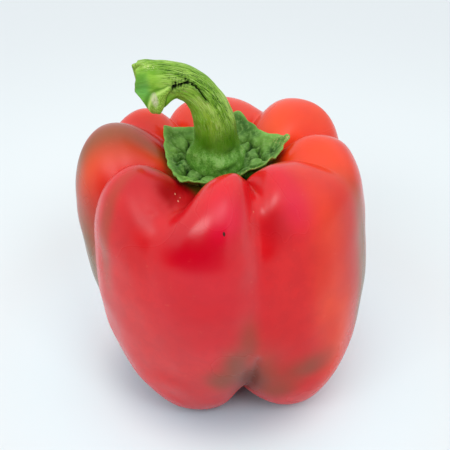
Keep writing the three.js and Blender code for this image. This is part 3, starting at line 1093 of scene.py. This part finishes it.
def skin_gleam(tree):
    """How strongly the skin shines: little in the dull patches and towards the feet."""
    dull = part_of(tree, "underside", 0.8)
    for name in ("shaded", "cleft_shade", "dull"):
        dull = calculate(tree, "MAXIMUM", dull, share_of(tree, name))
    return remap(tree, dull, 0, 1, 0.5, 0.08)


def skin_material():
    """Glossy red skin that is not ripe everywhere, with painted shade and painted dark reflection
    in its dips, crease and front shoulders, and partly painted sheen.
    """
    material, tree, shader = new_material("red_skin")
    place = object_place(tree)
    clouds = noise(tree, place, 45, 3)
    fine = noise(tree, place, 420, 4, 0.6)
    pores = noise(tree, place, 1500, 2)
    tree.links.new(skin_colour(tree, place, clouds, fine), shader.inputs["Base Color"])
    tree.links.new(skin_gleam(tree), shader.inputs["Specular IOR Level"])
    gloss = remap(tree, clouds, 0.3, 0.7, 0.21, 0.28)
    gloss = calculate(tree, "ADD", gloss, part_of(tree, "waxy", 0.24))
    tree.links.new(gloss, shader.inputs["Roughness"])
    soften(shader, 0.08, (0.004, 0.0012, 0.0006))
    first = bump(tree, shader, fine, 0.00004, 0.35)
    bump(tree, shader, pores, 0.00002, 0.3, first)
    return material


def leaf_colour(tree, place, clouds, fine):
    green = two_tone(tree, remap(tree, clouds, 0.35, 0.65), LEAF["dark"], LEAF["light"])
    green = lay(tree, green, LEAF, "within", part_of(tree, "within", 0.55))
    green = lay(tree, green, LEAF, "grain", remap(tree, fine, 0.45, 0.7, 0, 0.5))
    # Painted shade in the crevices between the pleats, and painted light on their crests.
    dark = remap(tree, share_of(tree, "crevice_shade"), 0.3, 0.95, 0, 0.9)
    colour = lay(tree, green, LEAF, "crevice_shade", dark)
    colour = lay(tree, colour, LEAF, "crest", part_of(tree, "crest", 0.3))
    colour = lay(tree, colour, LEAF, "lip", thinned(tree, "lip", clouds, 0.3, 0.6, 0.3, 0.7))
    dry_specks = noise(tree, place, 1900, 2)
    return lay(tree, colour, LEAF, "dry", thinned(tree, "tip", dry_specks, 0.57, 0.62))


def calyx_material():
    """Leathery green with painted shade in its crevices, painted light on its pleats' crests, a
    light edge and dry specks at the tips.
    """
    material, tree, shader = new_material("calyx_green")
    place = object_place(tree)
    clouds = noise(tree, place, 130, 3)
    fine = noise(tree, place, 900, 4, 0.6)
    tree.links.new(leaf_colour(tree, place, clouds, fine), shader.inputs["Base Color"])
    tree.links.new(remap(tree, fine, 0.3, 0.7, 0.5, 0.68), shader.inputs["Roughness"])
    shader.inputs["Specular IOR Level"].default_value = 0.25
    soften(shader, 0.1, (0.0008, 0.0014, 0.0004))
    bump(tree, shader, fine, 0.0003, 0.8)
    return material


def stem_patterns(tree):
    """The noises that the stem's colours share."""
    return SimpleNamespace(
        clouds=noise(tree, wrapped_place(tree, 0.35), 0.35, 3),
        streaks=noise(tree, wrapped_place(tree, 0.1), 4.2, 4, 0.62),
        dashes=noise(tree, wrapped_place(tree, 0.4), 1.6, 3, 0.6),
        fine=noise(tree, wrapped_place(tree, 1.0), 3.5, 4, 0.6),
        specks=noise(tree, wrapped_place(tree, 1.0), 2.2, 2),
        blotches=noise(tree, wrapped_place(tree, 0.6), 0.8, 3, 0.6),
    )


def bark_colour(tree, by):
    """Green of the shaft with light and dark fibres."""
    green = two_tone(tree, remap(tree, by.clouds, 0.35, 0.65), STALK["dark"], STALK["light"])
    light = remap(tree, by.streaks, 0.52, 0.64, 0, 0.42)
    higher_up = remap(tree, share_of(tree, "low"), 0, 1, 1, 0.3)
    light = times(tree, light, higher_up)
    green = lay(tree, green, STALK, "light_fibres", light)
    streak = thinned(tree, "streak", by.streaks, 0.3, 0.6, 0.1, 0.55)
    green = lay(tree, green, STALK, "streak", streak)
    dark = remap(tree, by.streaks, 0.49, 0.4, 0, 0.9)
    dark = times(tree, dark, remap(tree, by.dashes, 0.42, 0.54))
    dark = times(tree, dark, share_of(tree, "bark"))
    green = lay(tree, green, STALK, "dark_fibres", dark)
    grain = thinned(tree, "grain", by.streaks, 0.52, 0.44)
    grain = times(tree, grain, remap(tree, by.fine, 0.4, 0.55))
    return lay(tree, green, STALK, "grain", grain)


def face_colour(tree, by):
    """The smooth, hollow face of the broken end."""
    smooth = two_tone(tree, remap(tree, by.clouds, 0.4, 0.6), STALK["face"], STALK["light_face"])
    hollow = thinned(tree, "hollow", by.clouds, 0.3, 0.6, 0.5, 0.9)
    return lay(tree, smooth, STALK, "hollow", hollow)


def collar_colour(tree, by):
    collar = two_tone(tree, remap(tree, by.fine, 0.36, 0.7), STALK["collar"], STALK["light_collar"])
    dark = remap(tree, by.blotches, 0.55, 0.4, 0, 0.45)
    collar = lay(tree, collar, STALK, "collar_blotch", dark)
    light = remap(tree, by.blotches, 0.52, 0.66, 0, 0.4)
    return lay(tree, collar, STALK, "collar_bloom", light)


def add_rib_and_crack(tree, by, colour):
    # Painted shade in the crease beside the rib.
    colour = lay(tree, colour, STALK, "rib_crease_shade", part_of(tree, "rib_crease_shade", 0.35))
    rough = two_tone(tree, remap(tree, by.fine, 0.56, 0.46), STALK["rib"], STALK["rib_rough"])
    colour = mix(tree, share_of(tree, "rib"), colour, rough)
    # Painted highlight along the rib's edge.
    colour = lay(tree, colour, STALK, "rib_edge_highlight")
    # Painted shade beside the crack and, near-black, in it.
    beside = remap(tree, share_of(tree, "crack_side_shade"), 0.2, 1, 0, 0.5)
    colour = lay(tree, colour, STALK, "crack_side_shade", beside)
    return lay(tree, colour, STALK, "crack")


def stem_colour(tree, by):
    colour = mix(tree, share_of(tree, "face"), bark_colour(tree, by), face_colour(tree, by))
    inside = thinned(tree, "inside", by.clouds, 0.3, 0.7, 0.3, 0.7)
    colour = lay(tree, colour, STALK, "inside", inside)
    # Painted shade: darker towards the base of the stem.
    colour = lay(tree, colour, STALK, "low", part_of(tree, "low", 0.85))
    colour = mix(tree, share_of(tree, "collar"), colour, collar_colour(tree, by))
    colour = add_rib_and_crack(tree, by, colour)
    scar = thinned(tree, "scar", by.fine, 0.35, 0.6, 0.35, 0.95)
    colour = lay(tree, colour, STALK, "scar", scar)
    pale = thinned(tree, "speckled", by.specks, 0.56, 0.62)
    colour = lay(tree, colour, STALK, "speckled", pale)
    return lay(tree, colour, STALK, "brim")


def stem_material():
    """Fibrous green stalk with dark streaks, a smooth end and a crack on its side; painted shade in
    the crack, beside the rib and towards the base, and a painted highlight along the rib's edge.
    """
    material, tree, shader = new_material("stem_green")
    by = stem_patterns(tree)
    tree.links.new(stem_colour(tree, by), shader.inputs["Base Color"])
    tree.links.new(remap(tree, by.fine, 0.3, 0.7, 0.4, 0.55), shader.inputs["Roughness"])
    shader.inputs["Specular IOR Level"].default_value = 0.14
    soften(shader, 0.12, (0.001, 0.0018, 0.0005))
    first = bump(tree, shader, by.streaks, 0.0005, 0.8)
    bump(tree, shader, by.fine, 0.00008, 0.4, first)
    return material


# ---- Scene ----


def axes_of(tree, vector):
    split = tree.nodes.new("ShaderNodeSeparateXYZ")
    tree.links.new(vector, split.inputs["Vector"])
    return split.outputs


def floor_material():
    """Matt pale paper whose tint changes softly with the distance from the pepper: painted light
    and shade, darker far off, lighter and cooler near it, with a painted shadow beneath it and
    painted shade ahead of it.
    """
    material, tree, shader = new_material("floor_paper")
    place = object_place(tree)
    distance = vector_math(tree, "LENGTH", place)
    # Painted light and shade: darker far off, lighter near the pepper and a painted shadow beneath
    # it.
    colour = mix(tree, remap(tree, distance, 0.09, 0.28), PAPER, PAPER_FAR_SHADE)
    colour = mix(tree, remap(tree, distance, 0.09, 0.04), colour, PAPER_NEAR_LIGHT)
    colour = mix(tree, remap(tree, distance, 0.043, 0.022), colour, PAPER_CONTACT_SHADOW)
    # Painted shade on the paper ahead of the pepper.
    ahead = remap(tree, axes_of(tree, place)["Y"], -0.02, -0.11)
    ahead = times(tree, ahead, remap(tree, distance, 0.065, 0.115))
    tree.links.new(mix(tree, ahead, colour, PAPER_AHEAD_SHADE), shader.inputs["Base Color"])
    shader.inputs["Roughness"].default_value = 0.8
    shader.inputs["Specular IOR Level"].default_value = 0.1
    return material


def make_stage():
    """A pale floor that runs far past the view on every side."""
    far = FLOOR_REACH
    mesh = bpy.data.meshes.new("floor")
    corners = [(-far, -far, 0), (far, -far, 0), (far, far, 0), (-far, far, 0)]
    mesh.from_pydata(corners, [], [(0, 1, 2, 3)])
    floor = add_object("floor", mesh)
    floor.data.materials.append(floor_material())


def make_world():
    """Soft light from above, and a dark room low down on the viewer's side."""
    world = bpy.data.worlds.new("studio")
    bpy.context.scene.world = world
    world.use_nodes = True
    tree = world.node_tree
    background = tree.nodes["Background"]
    axes = axes_of(tree, tree.nodes.new("ShaderNodeTexCoord").outputs["Generated"])
    sky = mix(tree, remap(tree, axes["Z"], 0.0, 0.7), SKY_LOW, SKY_HIGH)
    rightwards = remap(tree, axes["X"], 0.1, 0.6)
    right = times(tree, rightwards, remap(tree, axes["Z"], 0.5, 0.1))
    sky = mix(tree, right, sky, SKY_RIGHT)
    in_front = remap(tree, axes["Y"], -0.45, -0.68)
    low = remap(tree, axes["Z"], 0.72, 0.5)
    dark = times(tree, in_front, low)
    dark = times(tree, dark, remap(tree, axes["X"], 0.68, 0.5))
    tree.links.new(mix(tree, dark, sky, DARK_ROOM), background.inputs["Color"])
    background.inputs["Strength"].default_value = 1.0


def add_softbox(position, size, power):
    light = bpy.data.lights.new("softbox", "AREA")
    light.shape = "RECTANGLE"
    light.size = size[0]
    light.size_y = size[1]
    light.energy = power
    lamp = add_object("softbox", light)
    lamp.location = position
    direction = Vector(LAMP_TARGET) - Vector(position)
    lamp.rotation_euler = direction.to_track_quat("-Z", "Y").to_euler()


def make_camera():
    elevation = math.radians(CAMERA_ELEVATION)
    target = Vector(((AIM_X + SHIFT_X) * MM, SHIFT_Y * MM, AIM_Z * MM))
    offset = Vector((0.0, -math.cos(elevation), math.sin(elevation))) * CAMERA_DISTANCE
    data = bpy.data.cameras.new("camera")
    data.sensor_width = SENSOR_WIDTH
    data.lens = CAMERA_LENS
    data.clip_start = 0.01
    camera = add_object("camera", data)
    camera.location = target + offset
    camera.rotation_euler = (-offset).to_track_quat("-Z", "Y").to_euler()
    bpy.context.scene.camera = camera


fruit = make_fruit()
calyx = make_calyx()
stem = make_stem()
fruit.data.materials.append(skin_material())
calyx.data.materials.append(calyx_material())
stem.data.materials.append(stem_material())
for piece, node, slot in (
    (fruit, "fruit", "red_skin"),
    (calyx, "calyx", "calyx_green"),
    (stem, "stem", "stem_green"),
):
    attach(piece, "root")
    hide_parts(node)
make_stage()
make_world()
for softbox in SOFTBOXES:
    add_softbox(*softbox)
make_camera()
bpy.context.scene.view_settings.view_transform = "Standard"
